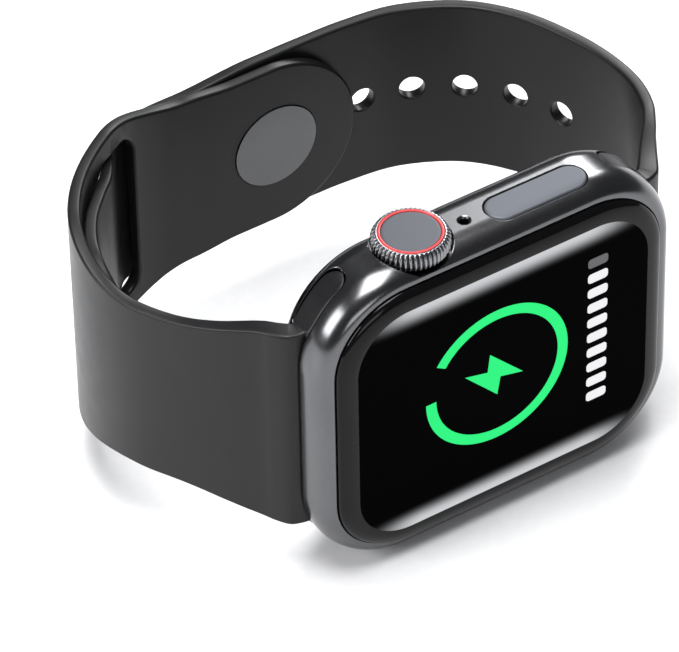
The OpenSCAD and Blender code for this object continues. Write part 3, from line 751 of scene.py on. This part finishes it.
for side, body in ((-1, "release_left"), (1, "release_right")):
    edge_roll = [(0.2 * (1 - math.cos(t)), 3.95 - 0.2 * (1 - math.sin(t)))
                 for t in np.radians(np.linspace(0, 90, 5))]
    rows = []
    for inset, y in [(0.05, 2.5), (0, 2.55), *edge_roll, (0.6, 3.93), (0.9, 3.90)]:
        oval = round_outline(1.0 - inset, 3.0 - inset, 1.0 - inset, fine_bend)
        rows.append(np.stack([side * release_x + oval[:, 0], np.full(len(oval), y), mid_z + oval[:, 1]], 1))
    rows = np.array([middle_of(rows[0]), *rows])
    faces = grid_faces(len(rows), rows.shape[1]).tolist()
    faces.append((np.arange(rows.shape[1]) + (len(rows) - 1) * rows.shape[1]).tolist())
    release = lay_mesh("release_oval" + ("_left" if side < 0 else "_right"), rows, faces, METAL)
    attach(release, body)
    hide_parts("release_button_left" if side < 0 else "release_button_right")


# ---------------------------------------------------------------- strap
# Two lengths of moulded rubber. Each ends at the case in a bar that slides into the channel; one
# carries the clasp pin and a slot, and the other the holes and a tail that tucks through the slot.
RUBBER = finish("strap_rubber", (0.0060, 0.0060, 0.0066), (0.0080, 0.0080, 0.0088), 0.0, (0.33, 0.40),
                6000, 0.000002, Specular_IOR_Level=0.25)
strap_half, strap_root = 0.7, 0.55        # half thickness, and what the root adds to it
bar_half, neck_half, bar_inner = 1.5, 1.1, 15.8
edge_round = 0.32


def smooth_step(x):
    x = np.clip(x, 0, 1)
    return x * x * (3 - 2 * x)


def route(stops, steps=16):
    """Catmull-Rom curve: each span bends between its two stops by the slope across their neighbours."""
    p = np.array(stops, float)
    a, b, c, d = (q[:, None] for q in (np.vstack([p[:1], p[:-2]]), p[:-1], p[1:], np.vstack([p[2:], p[-1:]])))
    t = (np.arange(steps) / steps)[None, :, None]
    spans = 0.5 * (2 * b + (c - a) * t + (2 * a - 5 * b + 4 * c - d) * t ** 2
                   + (3 * b - a - 3 * c + d) * t ** 3)
    return np.vstack([spans.reshape(-1, 2), p[-1:]])


class Strap:
    """The middle line of one strap in plan, from the inner end of its bar: run length, place and
    outward normal along it, and its half thickness and half width."""

    def __init__(self, end, stops, back_width):
        bar = np.concatenate([bar_inner + bar_half * (1 - np.cos(np.radians(np.linspace(0, 90, 10)))),
                              np.linspace(17.6, 20.78, 12), np.linspace(20.85, 21.1, 5)])
        lead = np.stack([end * bar, np.full(len(bar), channel_y)], 1)
        self.line = np.vstack([lead, route(stops)])
        step = np.gradient(self.line, axis=0)
        self.run = np.concatenate([[0], np.cumsum(np.linalg.norm(np.diff(self.line, axis=0), axis=1))])
        self.out = end * np.stack([step[:, 1], -step[:, 0]], 1)
        self.out = self.out / np.linalg.norm(self.out, axis=1)[:, None]
        x, y = np.abs(self.line[:, 0]), self.line[:, 1]
        gone = np.linalg.norm(self.line - (end * 20.9, channel_y), axis=1)
        band = strap_half + strap_root * np.clip(1 - gone / 13, 0, None) ** 1.5
        bar_round = np.sqrt(np.clip(bar_half ** 2 - np.clip(bar_inner + bar_half - x, 0, None) ** 2, 0, None))
        in_bar = bar_round - (bar_half - neck_half) * smooth_step((x - 20.85) / 0.15)
        leaving = in_bar + (band - in_bar) * smooth_step((x - 21.9) / 0.4)
        self.thick = np.where((x < 23) & (y < 5), leaving, band)
        shoulder = 11 + 2.1 * (1 - smooth_step((x - 22.1) / 8.4))
        around = 8.5 + np.sqrt(np.clip(10.3 ** 2 - (x - 11.5) ** 2, 0, None))
        front = 0.45 * np.logaddexp(around / 0.45, shoulder / 0.45)
        self.width = np.where(y < 15, front, back_width(*self.line.T))

    def at(self, run, outward, z):
        """The place at a run length, a distance outward from the middle line, and a height."""
        spot = [np.interp(run, self.run, self.line[:, i]) + outward * np.interp(run, self.run, self.out[:, i])
                for i in (0, 1)]
        return np.stack([spot[0], spot[1], mid_z + z], -1)

    def run_where(self, column, value, part):
        """Run length at which x (column 0) or y (column 1) reaches a value, within part of the line."""
        some = self.line[part, column]
        order = np.argsort(some)
        return float(np.interp(value, some[order], self.run[part][order]))

    def skin(self, tip_run, tip_radius):
        """A rounded rectangle carried along the line. Each ring has its corners drawn in by a quarter
        round, and past tip_run the width closes in a half circle of tip_radius."""
        t = np.radians(np.linspace(0, 90, 6))
        drawn, sunk = 1 - np.sin(t), 1 - np.cos(t)
        drawn = np.concatenate([drawn, drawn[::-1]] * 2)
        sunk = np.concatenate([sunk, sunk[::-1]] * 2)
        face = np.repeat([1, -1, -1, 1], 6)
        edge = np.repeat([1, 1, -1, -1], 6)
        body = self.run < tip_run - 0.05
        sweep = np.radians(np.linspace(0, 90, 25))[:, None]
        tip_thick = np.interp(tip_run + tip_radius * np.sin(sweep[:, 0]), self.run, self.thick)
        thick = np.concatenate([self.thick[body], tip_thick])
        radius = np.minimum(edge_round, 0.6 * thick)[:, None]
        inset = radius * drawn
        tip = len(sweep)
        run = np.vstack([np.repeat(self.run[body][:, None], len(face), 1),
                         tip_run + (tip_radius - inset[-tip:]) * np.sin(sweep)])
        width = np.vstack([self.width[body][:, None] - inset[:-tip],
                           (tip_radius - inset[-tip:]) * np.cos(sweep)])
        outward = face * (thick[:, None] - radius * sunk)
        return self.at(run, outward, edge * width), grid_faces(*run.shape)


pin_strap = Strap(-1, [
    (-21.3, 0.4), (-22.2, 0.72), (-23.1, 1.75), (-24.1, 3.2), (-26.9, 6.6), (-29.7, 10.8), (-31.8, 15),
    (-32.7, 19), (-32.6, 22.9), (-31.5, 26.7), (-29.3, 30.4), (-26.4, 33.6), (-22.8, 36.4), (-19, 38.5),
    (-15, 39.4), (-11, 39.6), (-7, 39.6), (-3, 39.6), (0.64, 39.6), (5, 39.6), (11, 39.6)],
    lambda x, y: 10.5 + 0.5 * smooth_step((-4.5 - x) / 6)
    + 2.4 * smooth_step((-10.5 - x) / 11.5) * smooth_step((y - 15) / 14))
hole_strap = Strap(1, [
    (21.3, 0.4), (22.1, 0.72), (22.9, 1.7), (23.9, 3.1), (26.1, 6.1), (28.3, 9), (30.1, 12), (31.1, 16),
    (30.9, 21), (29.7, 26), (27.3, 31.6), (23.1, 36.6), (17, 39.9), (11, 40.9), (5, 41.1), (0.64, 41.1),
    (-5, 41.1), (-9, 41.1), (-12.9, 41.1), (-15.6, 40.9), (-17.6, 40.5), (-19.3, 39.8), (-20.6, 38.5),
    (-21.6, 37), (-22.5, 35.5), (-23.6, 34), (-25.5, 32.2), (-28, 29.5), (-29.9, 26.3), (-31, 22.9),
    (-31.1, 19.3), (-30.4, 15.8), (-28.8, 12.5)],
    lambda x, y: 11 - 0.7 * smooth_step((-1 - x) / 10))
pin_x, pin_back = 0.5, pin_strap.line[:, 1] > 30
hole_back = (hole_strap.line[:, 1] > 30) & (hole_strap.line[:, 0] > -20)


def through(half, lip):
    """Levels for a hole right through a wall of that half thickness, rounded at both faces."""
    upper = lipped(0, lip, half, 1.0)[1:]
    return [(margin, -height) for margin, height in upper[::-1]] + upper


def core_pocket(end):
    """The room in the strap's bar for its metal core, open toward the back."""
    levels = [(0, -0.95), (0, 3.0)]
    return opening(lambda m: round_outline(1.2, 10, 0.2, fine_bend), levels,
                   lambda u, v, w: np.stack([end * 17.4 + u, channel_y + w, mid_z + v], 1))


tongue_run, tongue_half = pin_strap.run_where(0, pin_x - 0.3, pin_back), 10.5
tongue = lay_mesh("strap_with_pin", *pin_strap.skin(tongue_run, tongue_half), RUBBER)
slot_runs = [pin_strap.run_where(0, x, pin_back) for x in (-24.5, -17.7)]
slot_middle, slot_half = sum(slot_runs) / 2, (slot_runs[1] - slot_runs[0]) / 2
slot_wide, slot_corner = 10.6, 2.2
pin_seat = [(-3.55, -2.8), (-3.55, -0.45)] + lipped(-0.45, 0.08)
cut(tongue,
    opening(lambda m: round_outline(slot_half + m, slot_wide + m, slot_corner + m, np.linspace(0, 90, 11)),
            through(strap_half, 0.34), lambda u, v, w: pin_strap.at(slot_middle + u, w, v)),
    opening(ring_hole(5.15), pin_seat, lambda u, v, w: np.stack([pin_x + u, 38.9 - w, mid_z + v], 1)),
    core_pocket(-1))
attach(tongue, "strap")
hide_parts("strap_pin_side")

tail_part = (hole_strap.line[:, 0] < -24)
tail_run = float(np.interp(-25.5, -hole_strap.line[tail_part, 1], hole_strap.run[tail_part]))
tail = lay_mesh("strap_with_holes", *hole_strap.skin(tail_run, 10.3), RUBBER)
pin_run = float(np.interp(-pin_x, -hole_strap.line[hole_back, 0], hole_strap.run[hole_back]))
hole_pitch, hole_radius = 6.0, 1.45
cut(tail, *[opening(ring_hole(hole_radius), through(strap_half, 0.16),
                    lambda u, v, w, run=pin_run - k * hole_pitch: hole_strap.at(run + u, w, v))
            for k in range(-1, 7)],
    core_pocket(1))
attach(tail, "strap")
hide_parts("strap_hole_side")

# The clasp pin is a polished metal stud: a thin disc let into the tongue, a stem and a small head.
STUD = finish("pin_metal", (0.105, 0.106, 0.110), (0.12, 0.121, 0.125), 1.0, (0.22, 0.26), 3500, 0.0000001)
stud = lay_mesh("clasp_stud", *turned(rounded(
    (0, 38.75), (5.1, 38.78), (5.1, 39.3), (1.35, 39.3), (1.35, 41.8), (2.3, 41.85), (1.7, 42.55),
    (0, 42.58)),
    120, facing_back(pin_x)), STUD)
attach(stud, "strap")
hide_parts("clasp_pin")


# ---------------------------------------------------------------- inner pieces
# Everything sealed inside the case, and the metal cores in the strap bars, keep their packed
# shapes and get the finish of their own kind: board, foil, copper, steel and moulded plastic.
# Each kind: its dark and light colour, metallic, roughness, cells per metre and bump height.
inner_looks = {
    "black_seal": ((0.012, 0.012, 0.012), (0.02, 0.02, 0.02), 0.0, (0.6, 0.75), 3000, 0.000004),
    "display_stack": ((0.01, 0.01, 0.014), (0.018, 0.018, 0.024), 0.1, (0.15, 0.25), 2000, 0.000001),
    "bare_steel": ((0.42, 0.42, 0.43), (0.52, 0.52, 0.53), 1.0, (0.28, 0.42), 5000, 0.000002),
    "green_board": ((0.008, 0.07, 0.03), (0.015, 0.11, 0.045), 0.0, (0.35, 0.5), 2500, 0.000005),
    "led_cluster": ((0.10, 0.45, 0.14), (0.2, 0.7, 0.25), 0.0, (0.15, 0.3), 3000, 0.000002),
    "copper": ((0.72, 0.32, 0.16), (0.85, 0.42, 0.22), 1.0, (0.25, 0.4), 8000, 0.000006),
    "magnet": ((0.38, 0.38, 0.40), (0.48, 0.48, 0.5), 1.0, (0.2, 0.3), 3000, 0.000001),
    "cell_foil": ((0.45, 0.45, 0.46), (0.6, 0.6, 0.61), 1.0, (0.35, 0.5), 1200, 0.00001),
    "black_plastic": ((0.015, 0.015, 0.016), (0.026, 0.026, 0.028), 0.0, (0.4, 0.55), 6000, 0.000004),
    "heavy_metal": ((0.20, 0.19, 0.18), (0.28, 0.27, 0.26), 1.0, (0.35, 0.5), 4000, 0.000003),
    "gold_plate": ((0.80, 0.55, 0.20), (0.92, 0.66, 0.28), 1.0, (0.18, 0.3), 5000, 0.000001)}
inner_finish = {kind: finish(kind, *looks) for kind, looks in inner_looks.items()}
slot_of = {part["node"]: part["material_slot"] for part in frame["record"]["subparts"]}
for name, solid in frame["nodes"].items():
    if not solid.hide_render and slot_of[name] in inner_finish:
        for place in solid.material_slots:
            place.material = inner_finish[slot_of[name]]
